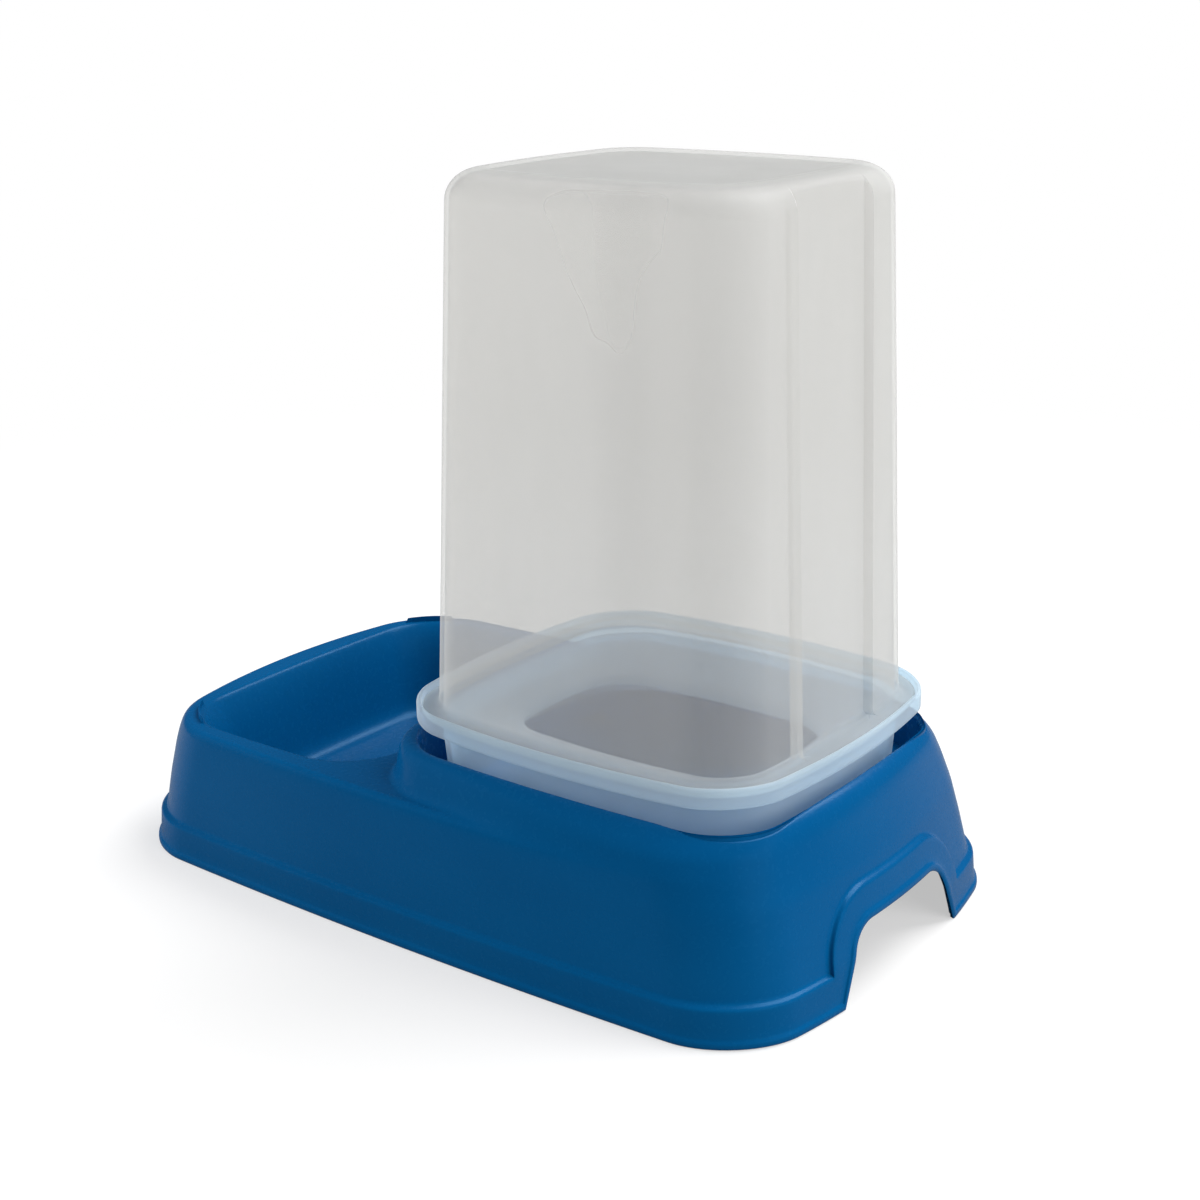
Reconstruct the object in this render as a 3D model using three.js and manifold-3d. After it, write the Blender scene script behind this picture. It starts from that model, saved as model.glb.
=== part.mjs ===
// A gravity feeder for dry food: a moulded base with a bowl and a raised socket, a funnel lid that
// stands in the socket, and a see-through hopper that stands upside down on the lid.
// Millimetres, +Z up. The origin is the middle of the base's footprint, on the surface it stands on.
// The bowl is at -X, the hopper at +X.

import * as THREE from 'three';
import { mergeVertices } from 'three/addons/utils/BufferGeometryUtils.js';
import Module from 'manifold-3d';

const wasm = await Module();
wasm.setup();

// ---- driving dimensions ----

const CORNER_STEPS = 6; // facets in each quarter-round corner
const SIDE_STEPS = 4; // facets along each bowed side

// base: footprint, levels and walls
const BASE_LENGTH = 327;
const BASE_WIDTH = 197.5;
const BASE_CORNER = 28;
const BASE_END_BOW = 13.5;
const BASE_SIDE_BOW = 4.25;
const FOOT_BAND = 14.5; // height of the proud band round the foot
const FOOT_STEP = 2; // how far the band stands proud of the wall
const DECK = 55; // level of the flat deck round the bowl
const SOCKET_TOP = 70;
const WALL = 2.5;

// bowl: opening in the deck, floor level
const BOWL_LEFT = -138.5;
const BOWL_RIGHT = -33.5;
const BOWL_HALF_WIDTH = 78.5;
const BOWL_CORNER = 25;
const BOWL_BOW = [3, 1.5];
const BOWL_FLOOR = 14;
const BOWL_DRAFT = 9; // how far the bowl's walls lean in from rim to floor
const BOWL_CHAMFER = 3; // between the walls and the floor

// socket and the feed chamber below it
const SOCKET_X = 58.6;
const SOCKET_HALF = [80.9, 76.6];
const SOCKET_CORNER = 22;
const SOCKET_BOW = [4, 4];
const SOCKET_DRAFT = 1.8; // how far the socket's walls lean in from rim to ledge
const LEDGE = 52; // the funnel lid's skirt stands on this
const CHAMBER_X = 58;
const CHAMBER_HALF = [72, 66];
const CHAMBER_BOW = [3, 3];
const RAMP_LOW_X = 0; // the chute meets the bowl's floor level here
const RAMP_HIGH_X = 128;
const RAMP_HIGH_Z = 50;
const PASSAGE_HALF_WIDTH = 52;
const PASSAGE_TOP = 44;
const PASSAGE_CORNER = 8;
const UNDERSIDE_TOP = 62; // the hollow below the socket's rim stops here

// hand-hold arch in the hopper end
const ARCH_HALF_FOOT = 40;
const ARCH_HALF_TOP = 33;
const ARCH_TOP = 27;
const ARCH_CORNER = 13;
const ARCH_BORDER = 12.5; // width of the proud border round the arch

// funnel lid
const HOPPER_X = 57.1;
const LID_LIP_HALF = [84.05, 78.15];
const LID_SKIRT_HALF = [77.3, 71.4];
const LID_FOOT_HALF = [75.8, 69.9];
const LID_FOOT = 52.3;
const LID_SEAT = 80.2; // the hopper's flange rests on this
const LID_TOP = 84.3;
const LID_LIP_FOOT = 76.5;
const LID_WALL = 1.8;
const LID_CORNER = 22;
const LID_BOW = [7.6, 7.6];
const LIP_ROUND = 0.8; // bevel round the lip's lower and upper edges
const OUTLET_HALF = [55, 38];
const OUTLET_CORNER = 15;
const OUTLET_BOW = [4, 4];
const OUTLET_TOP = 70;
const OUTLET_BOTTOM = 66;
const FUNNEL_HALF = [68, 61];
const FUNNEL_CORNER = 18;
const FUNNEL_BOW = [5, 5];

// hopper
const HOPPER_HALF = [74.7, 68.2]; // outside of the wall at the flange
const HOPPER_DRAFT = 2; // degrees
const HOPPER_TOP = 281;
const HOPPER_EDGE = 10.8; // radius round the closed end
const HOPPER_WALL = 1.8;
const HOPPER_CORNER = 19; // in plan at the flange
const CORNER_PER_LEAN = 0.3; // how much of the lean its corners lose in radius
const CORNER_PER_ROUND = 0.7; // how much of the closed end's round they lose
const HOPPER_BOW = [4.4, 4.4];
const FLANGE_BOTTOM = 80.5;
const FLANGE_THICK = 1.8;
const FLANGE_GAP = 0.4; // between the flange and the lid's lip
const CHANNEL_HALF = 25; // half width of the upright channel in the end wall
const CHANNEL_DEPTH = 4;
const CHANNEL_FLARE = 4; // how far its sides splay over 24 mm

const REACH = 200; // further than any part of the object reaches
const OVERRUN = 2; // how far a cutting shape runs past the face it cuts

// ---- outlines and solids ----

// A rounded rectangle whose sides bulge: half sizes include the bulge, which fades towards the corners.
function outline(half, corner, bow, centreX = 0) {
  const a = half[0] - bow[0];
  const b = half[1] - bow[1];
  const r = Math.min(corner, a - 1, b - 1);
  const straight = [];
  const corners = [[1, 1], [-1, 1], [-1, -1], [1, -1]];
  corners.forEach(([sx, sy], quarter) => {
    for (let k = 0; k <= CORNER_STEPS; k += 1) {
      const angle = (quarter + k / CORNER_STEPS) * Math.PI / 2;
      straight.push([sx * (a - r) + r * Math.cos(angle), sy * (b - r) + r * Math.sin(angle)]);
    }
    const [fromX, fromY] = straight[straight.length - 1];
    const [nx, ny] = corners[(quarter + 1) % 4];
    const turn = (quarter + 1) * Math.PI / 2;
    const toX = nx * (a - r) + r * Math.cos(turn);
    const toY = ny * (b - r) + r * Math.sin(turn);
    for (let k = 1; k < SIDE_STEPS; k += 1) {
      const t = k / SIDE_STEPS;
      straight.push([fromX + (toX - fromX) * t, fromY + (toY - fromY) * t]);
    }
  });
  return straight.map(([x, y]) => [
    centreX + x + bow[0] * (1 - (y / b) ** 2) * (x / a),
    y + bow[1] * (1 - (x / a) ** 2) * (y / b),
  ]);
}

// Skins a stack of outlines of equal length, lowest first, and closes both ends with a fan.
function loft(sections) {
  const count = sections[0].points.length;
  const positions = [];
  const indices = [];
  sections.forEach(({ z, points }) => points.forEach(([x, y]) => positions.push(x, y, z)));
  for (let s = 0; s + 1 < sections.length; s += 1) {
    for (let k = 0; k < count; k += 1) {
      const next = (k + 1) % count;
      const low = s * count;
      const high = low + count;
      indices.push(low + k, low + next, high + next, low + k, high + next, high + k);
    }
  }
  const addFan = (section, start, facesUp) => {
    const middle = positions.length / 3;
    const sum = section.points.reduce(([x, y], p) => [x + p[0], y + p[1]], [0, 0]);
    positions.push(sum[0] / count, sum[1] / count, section.z);
    for (let k = 0; k < count; k += 1) {
      const next = (k + 1) % count;
      if (facesUp) indices.push(middle, start + k, start + next);
      else indices.push(middle, start + next, start + k);
    }
  };
  addFan(sections[0], 0, false);
  addFan(sections[sections.length - 1], (sections.length - 1) * count, true);
  const geometry = new THREE.BufferGeometry();
  geometry.setAttribute('position', new THREE.Float32BufferAttribute(positions, 3));
  geometry.setIndex(indices);
  return toSolid(geometry);
}

function toSolid(geometry) {
  const bare = geometry.clone();
  bare.deleteAttribute('normal');
  bare.deleteAttribute('uv');
  const merged = mergeVertices(bare, 1e-4);
  return new wasm.Manifold(new wasm.Mesh({
    numProp: 3,
    vertProperties: new Float32Array(merged.attributes.position.array),
    triVerts: new Uint32Array(merged.index.array),
  }));
}

function toGeometry(solid) {
  const mesh = solid.getMesh();
  const geometry = new THREE.BufferGeometry();
  geometry.setAttribute('position', new THREE.BufferAttribute(new Float32Array(mesh.vertProperties), 3));
  geometry.setIndex(new THREE.BufferAttribute(new Uint32Array(mesh.triVerts), 1));
  geometry.computeVertexNormals();
  return geometry;
}

function box(low, high) {
  const size = low.map((value, axis) => high[axis] - value);
  const geometry = new THREE.BoxGeometry(...size);
  geometry.translate(...low.map((value, axis) => (value + high[axis]) / 2));
  return toSolid(geometry);
}

// A shape drawn with y across and z up, pushed along +X from x to x + length.
function prismAlongX(shape, x, length) {
  const geometry = new THREE.ExtrudeGeometry(shape, { depth: length, bevelEnabled: false, curveSegments: 8 });
  geometry.rotateY(Math.PI / 2);
  geometry.rotateX(Math.PI / 2);
  geometry.translate(x, 0, 0);
  return toSolid(geometry);
}

// ---- base ----

// How far the outer wall leans in from the footprint at each level: bowl end, hopper end, long sides.
const WALL_PROFILE = [
  { z: 0, left: 0, right: 0, side: 0 },
  { z: 3, left: 0.3, right: 0.3, side: 0.2 },
  { z: 4, left: 1, right: 1, side: 0.8 },
  { z: FOOT_BAND, left: 2, right: 2, side: 1.3 },
  { z: FOOT_BAND + 2, left: 2 + FOOT_STEP, right: 2 + FOOT_STEP, side: 1.3 + FOOT_STEP },
  { z: 30, left: 6, right: 7, side: 4.9 },
  { z: 44, left: 9, right: 10.6, side: 6.6 },
  { z: DECK, left: 12, right: 14.4, side: 8.5 },
  { z: 62, left: 14, right: 16.4, side: 11 },
  { z: 66, left: 15, right: 18, side: 14.4 },
  { z: 68.6, left: 16, right: 20.4, side: 18 },
  { z: SOCKET_TOP, left: 17, right: 22.6, side: 20.2 },
];

function footprint(left, right, side, corner = BASE_CORNER) {
  const half = [(BASE_LENGTH - left - right) / 2, BASE_WIDTH / 2 - side];
  return outline(half, corner, [BASE_END_BOW, BASE_SIDE_BOW], (left - right) / 2);
}

function wallBody(inset, levels) {
  return loft(levels.map(({ z, left, right, side }) => (
    { z, points: footprint(left + inset, right + inset, side + inset, BASE_CORNER - inset / 2) })));
}

// The outer wall of the raised block round the socket: the wall beside the bowl, the long sides.
const BLOCK_PROFILE = [
  { z: 47, left: -31, halfWidth: 91, corner: 33 },
  { z: DECK, left: -29, halfWidth: 88.4, corner: 31 },
  { z: 62, left: -27.9, halfWidth: 86, corner: 28 },
  { z: 66, left: -27, halfWidth: 84.2, corner: 25.5 },
  { z: 68.6, left: -25.5, halfWidth: 82, corner: 23.3 },
  { z: SOCKET_TOP, left: -23.6, halfWidth: 80, corner: 22 },
];
const BLOCK_BOW = [0, 7.6];

// The block reaches past the hopper end, where the wall body cuts it off, and a little past the top.
function socketBlock(inset) {
  const sections = BLOCK_PROFILE.map(({ z, left, halfWidth, corner }) => {
    const half = [(REACH - left) / 2 - inset, halfWidth - inset];
    return { z, points: outline(half, corner - inset, BLOCK_BOW, (left + REACH) / 2) };
  });
  const rim = sections[sections.length - 1];
  return loft([...sections, { z: SOCKET_TOP + OVERRUN, points: rim.points }]);
}

function bowlSpace(outset, top) {
  const at = (lean, z) => {
    const left = BOWL_LEFT + lean - outset;
    const right = BOWL_RIGHT - lean / 2 + outset;
    const half = [(right - left) / 2, BOWL_HALF_WIDTH - lean + outset];
    return { z, points: outline(half, BOWL_CORNER - lean * 0.4 + outset, BOWL_BOW, (left + right) / 2) };
  };
  return loft([
    at(BOWL_DRAFT + BOWL_CHAMFER, BOWL_FLOOR - outset),
    at(BOWL_DRAFT, BOWL_FLOOR + BOWL_CHAMFER),
    at(0, DECK),
    at(0, top),
  ]);
}

function socketSpace(outset, top) {
  const at = (inset, z) => {
    const half = SOCKET_HALF.map((value) => value - inset + outset);
    return { z, points: outline(half, SOCKET_CORNER + outset, SOCKET_BOW, SOCKET_X) };
  };
  return loft([at(SOCKET_DRAFT, LEDGE - outset), at(0, top)]);
}

// Everything below the chute's surface, lowered by drop.
function belowChute(drop) {
  const shape = new THREE.Shape();
  shape.moveTo(-REACH, -REACH);
  shape.lineTo(REACH, -REACH);
  shape.lineTo(REACH, RAMP_HIGH_Z - drop);
  shape.lineTo(RAMP_HIGH_X, RAMP_HIGH_Z - drop);
  shape.lineTo(RAMP_LOW_X, BOWL_FLOOR - drop);
  shape.lineTo(-REACH, BOWL_FLOOR - drop);
  shape.closePath();
  const geometry = new THREE.ExtrudeGeometry(shape, { depth: 2 * REACH, bevelEnabled: false });
  geometry.rotateX(Math.PI / 2);
  geometry.translate(0, REACH, 0);
  return toSolid(geometry);
}

function chamberSpace(outset) {
  const half = [CHAMBER_HALF[0] + outset, CHAMBER_HALF[1] + outset];
  const points = outline(half, SOCKET_CORNER + outset, CHAMBER_BOW, CHAMBER_X);
  return loft([{ z: 0, points }, { z: LEDGE + 1, points }]).subtract(belowChute(outset));
}

function roundedArch(halfFoot, halfTop, top, corner, foot) {
  const shape = new THREE.Shape();
  shape.moveTo(-halfFoot, foot);
  shape.lineTo(halfFoot, foot);
  shape.lineTo(halfTop + 2, top - corner);
  shape.quadraticCurveTo(halfTop, top, halfTop - corner, top);
  shape.lineTo(corner - halfTop, top);
  shape.quadraticCurveTo(-halfTop, top, -halfTop - 2, top - corner);
  shape.closePath();
  return shape;
}

function makeBase() {
  const passageTunnel = (outset) => {
    const half = PASSAGE_HALF_WIDTH + outset;
    const foot = BOWL_FLOOR - outset;
    const shape = roundedArch(half, half - 2, PASSAGE_TOP + outset, PASSAGE_CORNER, foot);
    return prismAlongX(shape, BOWL_RIGHT - 12, 40);
  };
  const belowDeck = WALL_PROFILE.filter(({ z }) => z <= DECK);
  const lowBlock = (top) => box([-REACH, -REACH, -REACH], [REACH, REACH, top]);

  const border = roundedArch(ARCH_HALF_FOOT + ARCH_BORDER, ARCH_HALF_TOP + ARCH_BORDER,
    ARCH_TOP + ARCH_BORDER, ARCH_CORNER + ARCH_BORDER, FOOT_BAND / 2);
  const bandTop = belowDeck.findIndex(({ z }) => z === FOOT_BAND);
  const borderLevels = belowDeck.slice(bandTop).map(({ z, left, right, side }, k) => (
    k === 0 ? { z, left, right, side }
      : { z, left, right: right - FOOT_STEP, side: side - FOOT_STEP }));
  const proudBorder = wallBody(0, borderLevels).intersect(
    prismAlongX(border, BASE_LENGTH / 2 - 40, 60));

  const outside = wallBody(0, WALL_PROFILE)
    .intersect(lowBlock(DECK).add(socketBlock(0)))
    .add(proudBorder);

  const spaces = bowlSpace(0, SOCKET_TOP)
    .add(socketSpace(0, SOCKET_TOP + OVERRUN))
    .add(chamberSpace(0))
    .add(passageTunnel(0));
  const shells = bowlSpace(WALL, SOCKET_TOP)
    .add(socketSpace(WALL, SOCKET_TOP + OVERRUN))
    .add(chamberSpace(WALL))
    .add(passageTunnel(WALL));

  const underside = wallBody(WALL, [{ ...WALL_PROFILE[0], z: -OVERRUN }, ...WALL_PROFILE.slice(1)])
    .intersect(lowBlock(DECK - WALL).add(socketBlock(WALL)))
    .intersect(lowBlock(UNDERSIDE_TOP))
    .subtract(shells);

  const arch = roundedArch(ARCH_HALF_FOOT, ARCH_HALF_TOP, ARCH_TOP, ARCH_CORNER, -5);
  return outside
    .subtract(spaces)
    .subtract(underside)
    .subtract(prismAlongX(arch, BASE_LENGTH / 2 - 30, 40));
}

// ---- funnel lid ----

function lidOutline(half, inset = 0) {
  return outline([half[0] - inset, half[1] - inset], LID_CORNER - inset, LID_BOW, HOPPER_X);
}

function makeFunnelLid() {
  const body = loft([
    { z: LID_FOOT, points: lidOutline(LID_FOOT_HALF) },
    { z: LID_LIP_FOOT + 1, points: lidOutline(LID_SKIRT_HALF) },
  ]).add(loft([
    { z: LID_LIP_FOOT, points: lidOutline(LID_LIP_HALF, LIP_ROUND) },
    { z: LID_TOP - LIP_ROUND, points: lidOutline(LID_LIP_HALF) },
    { z: LID_TOP, points: lidOutline(LID_LIP_HALF, LIP_ROUND / 2) },
  ]));
  const seat = loft([
    { z: LID_SEAT, points: lidOutline(LID_LIP_HALF, LID_WALL) },
    { z: LID_TOP + OVERRUN, points: lidOutline(LID_LIP_HALF, LID_WALL) },
  ]);
  const funnel = (outset, bottom) => {
    const grown = (half) => half.map((value) => value + outset);
    const outlet = outline(grown(OUTLET_HALF), OUTLET_CORNER, OUTLET_BOW, HOPPER_X);
    const mouth = outline(grown(FUNNEL_HALF), FUNNEL_CORNER, FUNNEL_BOW, HOPPER_X);
    return loft([
      { z: bottom, points: outlet },
      { z: OUTLET_TOP, points: outlet },
      { z: LID_SEAT + 1, points: mouth },
    ]);
  };
  const underLip = loft([
    { z: LID_LIP_FOOT - OVERRUN, points: lidOutline(LID_LIP_HALF, LID_WALL) },
    { z: LID_SEAT - LID_WALL, points: lidOutline(LID_LIP_HALF, LID_WALL) },
  ]).subtract(loft([
    { z: LID_LIP_FOOT - 2 * OVERRUN, points: lidOutline(LID_SKIRT_HALF) },
    { z: LID_SEAT, points: lidOutline(LID_SKIRT_HALF) },
  ]));
  const insideSkirt = loft([
    { z: LID_FOOT - 1, points: lidOutline(LID_FOOT_HALF, LID_WALL) },
    { z: LID_SEAT - LID_WALL, points: lidOutline(LID_SKIRT_HALF, LID_WALL) },
  ]).subtract(funnel(LID_WALL, OUTLET_BOTTOM));
  return body
    .subtract(seat)
    .subtract(underLip)
    .subtract(insideSkirt)
    .subtract(funnel(0, OUTLET_BOTTOM - 1));
}

// ---- hopper ----

// The tub's outline at height z, shrunk by inset, following the draft and the round of the closed end.
function hopperOutline(z, inset) {
  const lean = (z - FLANGE_BOTTOM) * Math.tan(THREE.MathUtils.degToRad(HOPPER_DRAFT));
  const edge = HOPPER_EDGE - inset;
  const over = Math.max(0, z - (HOPPER_TOP - inset - edge));
  const round = edge - Math.sqrt(Math.max(0, edge ** 2 - over ** 2));
  const shrink = lean + inset + round;
  return {
    z,
    points: outline([HOPPER_HALF[0] - shrink, HOPPER_HALF[1] - shrink],
      HOPPER_CORNER - inset - CORNER_PER_LEAN * lean - CORNER_PER_ROUND * round, HOPPER_BOW, HOPPER_X),
  };
}

function tub(inset, bottom) {
  const top = HOPPER_TOP - inset;
  const edge = HOPPER_EDGE - inset;
  const levels = [bottom, top - edge];
  for (const degrees of [22.5, 45, 67.5, 90]) {
    levels.push(top - edge + edge * Math.sin(THREE.MathUtils.degToRad(degrees)));
  }
  return loft(levels.map((z) => hopperOutline(z, inset)));
}

// The upright channel: it leans with the wall, so it keeps its depth from the flange to the closed end.
function channel(outset) {
  const at = (z) => {
    const wall = HOPPER_X + HOPPER_HALF[0]
      - (z - FLANGE_BOTTOM) * Math.tan(THREE.MathUtils.degToRad(HOPPER_DRAFT));
    const low = wall - CHANNEL_DEPTH - outset;
    const half = CHANNEL_HALF + outset;
    const high = wall + 20;
    const splayed = half + CHANNEL_FLARE;
    return { z, points: [[low, -half], [high, -splayed], [high, splayed], [low, half]] };
  };
  return loft([at(FLANGE_BOTTOM + FLANGE_THICK + FLANGE_GAP - outset), at(HOPPER_TOP + OVERRUN)]);
}

function makeHopper() {
  const flange = loft([
    { z: FLANGE_BOTTOM, points: lidOutline(LID_LIP_HALF, LID_WALL + FLANGE_GAP) },
    { z: FLANGE_BOTTOM + FLANGE_THICK, points: lidOutline(LID_LIP_HALF, LID_WALL + FLANGE_GAP) },
  ]);
  const outside = tub(0, FLANGE_BOTTOM).subtract(channel(0)).add(flange);
  const inside = tub(HOPPER_WALL, FLANGE_BOTTOM - 1).subtract(channel(HOPPER_WALL));
  return outside.subtract(inside);
}

// ---- the object ----

const bluePlastic = new THREE.MeshStandardMaterial({ color: 0x0b5f9e, roughness: 0.35, metalness: 0 });
const clearPlastic = new THREE.MeshStandardMaterial({
  color: 0xdfe3e4, roughness: 0.3, metalness: 0, transparent: true, opacity: 0.45,
});
const milkyPlastic = new THREE.MeshStandardMaterial({
  color: 0xe9edee, roughness: 0.35, metalness: 0, transparent: true, opacity: 0.55,
});

const feeder = new THREE.Group();
for (const [name, solid, material] of [
  ['feeder_base', makeBase(), bluePlastic],
  ['funnel_lid', makeFunnelLid(), milkyPlastic],
  ['hopper', makeHopper(), clearPlastic],
]) {
  const mesh = new THREE.Mesh(toGeometry(solid), material);
  mesh.name = name;
  feeder.add(mesh);
}

export default feeder;
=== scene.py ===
"""Looks of a gravity feeder for dry food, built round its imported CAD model.

Three mouldings stand on each other: a blue base with a bowl and a raised socket, a milky funnel lid in
the socket, and a milky hopper upside down on the lid. Each is a surface worked out on a grid. Shapes
are written in millimetres and go into the meshes in metres, in the frame of the CAD model: +Z up, the
bowl at -X, the hopper at +X, the origin under the middle of the base.
"""

import math

import bpy
import numpy as np
from mathutils import Matrix, Vector


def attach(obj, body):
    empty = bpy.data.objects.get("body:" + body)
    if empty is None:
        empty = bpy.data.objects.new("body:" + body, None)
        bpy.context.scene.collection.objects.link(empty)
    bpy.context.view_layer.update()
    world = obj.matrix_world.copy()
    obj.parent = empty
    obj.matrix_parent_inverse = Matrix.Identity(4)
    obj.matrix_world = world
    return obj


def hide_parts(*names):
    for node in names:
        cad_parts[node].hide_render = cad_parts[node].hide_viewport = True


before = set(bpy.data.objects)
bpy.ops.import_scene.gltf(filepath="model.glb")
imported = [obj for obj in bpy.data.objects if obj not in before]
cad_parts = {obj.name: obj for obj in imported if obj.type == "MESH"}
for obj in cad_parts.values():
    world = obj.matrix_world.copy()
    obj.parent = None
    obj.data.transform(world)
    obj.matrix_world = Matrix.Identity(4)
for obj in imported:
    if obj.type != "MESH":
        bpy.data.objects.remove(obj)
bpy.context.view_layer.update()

MM = 0.001

# ---------------------------------------------------------------- camera

CAMERA_AT = (0.4488, -0.5704, 0.3499)
CAMERA_TURN = 36.66  # degrees from looking along +Y
CAMERA_DOWN = 18.36
CAMERA_ROLL = -0.62
CAMERA_LENS = 58.06  # on a 36 mm sensor


def place_camera():
    """A camera at a point, turned about Z, tipped down and rolled by the angles above."""
    camera = bpy.data.cameras.new("camera")
    camera.sensor_width = 36
    camera.lens = CAMERA_LENS
    camera.clip_start = 0.01
    camera.clip_end = 50
    holder = bpy.data.objects.new("camera", camera)
    turn, down, roll = (math.radians(v) for v in (CAMERA_TURN, CAMERA_DOWN, CAMERA_ROLL))
    facing = Matrix.Rotation(turn, 4, "Z") @ Matrix.Rotation(math.pi / 2 - down, 4, "X")
    facing = facing @ Matrix.Rotation(roll, 4, "Z")
    holder.matrix_world = Matrix.Translation(CAMERA_AT) @ facing
    bpy.context.scene.collection.objects.link(holder)
    bpy.context.scene.camera = holder


place_camera()

# ---------------------------------------------------------------- outlines in plan


def outline(u, half_x, half_y, corner, bow_x, bow_y, centre_x=0.0):
    """A rounded rectangle whose sides bulge. u runs 0 to 12 anticlockwise from the middle of the +X side.

    Half a side is one unit and a corner is one unit. With v the way round to the nearer of 0 and 12,
    and f the corner angle reached: x = (a-r) clip(3-v, -1, 1) + r cos f, y = (b-r) min(v, 6-v, 1) + r sin f.
    The bulge adds bow_x (1-(y/b)^2) x/a to x and bow_y (1-(x/a)^2) y/b to y.
    """
    u = np.mod(u, 12.0)
    v = np.minimum(u, 12.0 - u)
    side = np.where(u <= 6.0, 1.0, -1.0)
    a, b, r = half_x - bow_x, half_y - bow_y, corner
    f = (np.clip(v - 1, 0, 1) + np.clip(v - 4, 0, 1)) * np.pi / 2
    x = (a - r) * np.clip(3 - v, -1, 1) + r * np.cos(f)
    y = side * ((b - r) * np.clip(np.minimum(v, 6 - v), 0, 1) + r * np.sin(f))
    return (centre_x + x + bow_x * (1 - (y / b) ** 2) * (x / a),
            y + bow_y * (1 - (x / a) ** 2) * (y / b))


def plan_distance(x, y, half_x, half_y, corner, bow_x, bow_y, centre_x=0.0):
    """Distance in plan from a point to such an outline, negative inside it.

    The bulge is taken off the point in three passes, and the rest is the distance to a rounded box.
    """
    a, b = half_x - bow_x, half_y - bow_y
    px, py = x - centre_x, np.abs(y)
    flat_x, flat_y = px, py
    for _ in range(3):
        along = np.clip(flat_x / a, -1, 1)
        across = np.clip(flat_y / b, -1, 1)
        flat_x = px - bow_x * (1 - across ** 2) * along
        flat_y = py - bow_y * (1 - along ** 2) * across
    dx = np.abs(flat_x) - (a - corner)
    dy = flat_y - (b - corner)
    return np.hypot(np.maximum(dx, 0), np.maximum(dy, 0)) + np.minimum(np.maximum(dx, dy), 0) - corner


def eased(z, knots, values, reach=1.5):
    """Straight runs between knots, rounded off by averaging over reach on either side."""
    return np.mean([np.interp(z + step, knots, values) for step in np.linspace(-reach, reach, 9)], axis=0)


def soft_min(a, b, blend):
    """The lower of two heights, with a round of width blend where they cross."""
    return np.minimum(a, b) - np.maximum(blend - np.abs(a - b), 0) ** 2 / (4 * blend)


def soft_max(a, b, blend):
    """The higher of two heights, with a fillet of width blend where they cross."""
    return np.maximum(a, b) + np.maximum(blend - np.abs(a - b), 0) ** 2 / (4 * blend)


def ramp(t):
    """0 below 0, 1 above 1, and a smooth S between."""
    t = np.clip(t, 0, 1)
    return t * t * (3 - 2 * t)


def crossing(distances, levels):
    """The level at which a shrinking outline reaches each point: where its distance turns positive."""
    k = np.clip((distances < 0).sum(axis=0), 1, len(levels) - 1)[None]
    near = np.take_along_axis(distances, k - 1, axis=0)[0]
    far = np.take_along_axis(distances, k, axis=0)[0]
    share = np.clip(-near / (far - near), 0, 1)
    return levels[k[0] - 1] + share * (levels[k[0]] - levels[k[0] - 1])


# ---------------------------------------------------------------- meshes


class Sheet:
    """Grid patches that share edges, welded into one surface.

    A triangle is a quad with its last corner twice.
    """

    def __init__(self):
        self.points = []
        self.faces = []
        self.count = 0

    def add(self, grid, closed=False, keep=None, flip=False):
        rows, columns = grid.shape[:2]
        index = np.arange(rows * columns).reshape(rows, columns) + self.count
        if closed:
            index = np.concatenate([index, index[:, :1]], axis=1)
        quads = np.stack([index[:-1, :-1], index[:-1, 1:], index[1:, 1:], index[1:, :-1]], axis=-1)
        quads = quads[keep] if keep is not None else quads.reshape(-1, 4)
        self.points.append(grid.reshape(-1, 3))
        self.faces.append(quads[:, ::-1] if flip else quads)
        self.count += rows * columns

    def welded(self, grain=1e-3):
        points = np.concatenate(self.points)
        faces = np.concatenate(self.faces)
        keys = np.round(points / grain).astype(np.int64)
        _, first, where = np.unique(keys, axis=0, return_index=True, return_inverse=True)
        points, faces = points[first], where.reshape(-1)[faces]
        turned = np.roll(faces, -1, axis=1)
        double = faces == turned
        plain = faces[~double.any(axis=1)]
        once = double.sum(axis=1) == 1
        place = np.argmax(double[once], axis=1)[:, None]
        pinched = np.take_along_axis(faces[once], (place + 1 + np.arange(4)) % 4, axis=1)
        pinched[:, 3] = pinched[:, 2]
        return points, np.concatenate([plain, pinched])


def vertex_normals(points, faces):
    """The mean of the normals of the faces round each vertex, by area."""
    corner = points[faces]
    face_normal = np.cross(corner[:, 2] - corner[:, 0], corner[:, 3] - corner[:, 1])
    normals = np.zeros_like(points)
    for k in range(4):
        np.add.at(normals, faces[:, k], face_normal)
    return normals / np.maximum(np.linalg.norm(normals, axis=1, keepdims=True), 1e-12)


def thickened(points, faces, inner):
    """A surface and its inner copy, joined along every open edge."""
    count = len(points)
    edges = np.concatenate([faces[:, [k, (k + 1) % 4]] for k in range(4)])
    edges = edges[edges[:, 0] != edges[:, 1]]
    code = edges.min(axis=1) * count + edges.max(axis=1)
    _, first, uses = np.unique(code, return_index=True, return_counts=True)
    rim = edges[first[uses == 1]]
    skirt = np.stack([rim[:, 1], rim[:, 0], rim[:, 0] + count, rim[:, 1] + count], axis=-1)
    return np.concatenate([points, inner]), np.concatenate([faces, faces[:, ::-1] + count, skirt])


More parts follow.
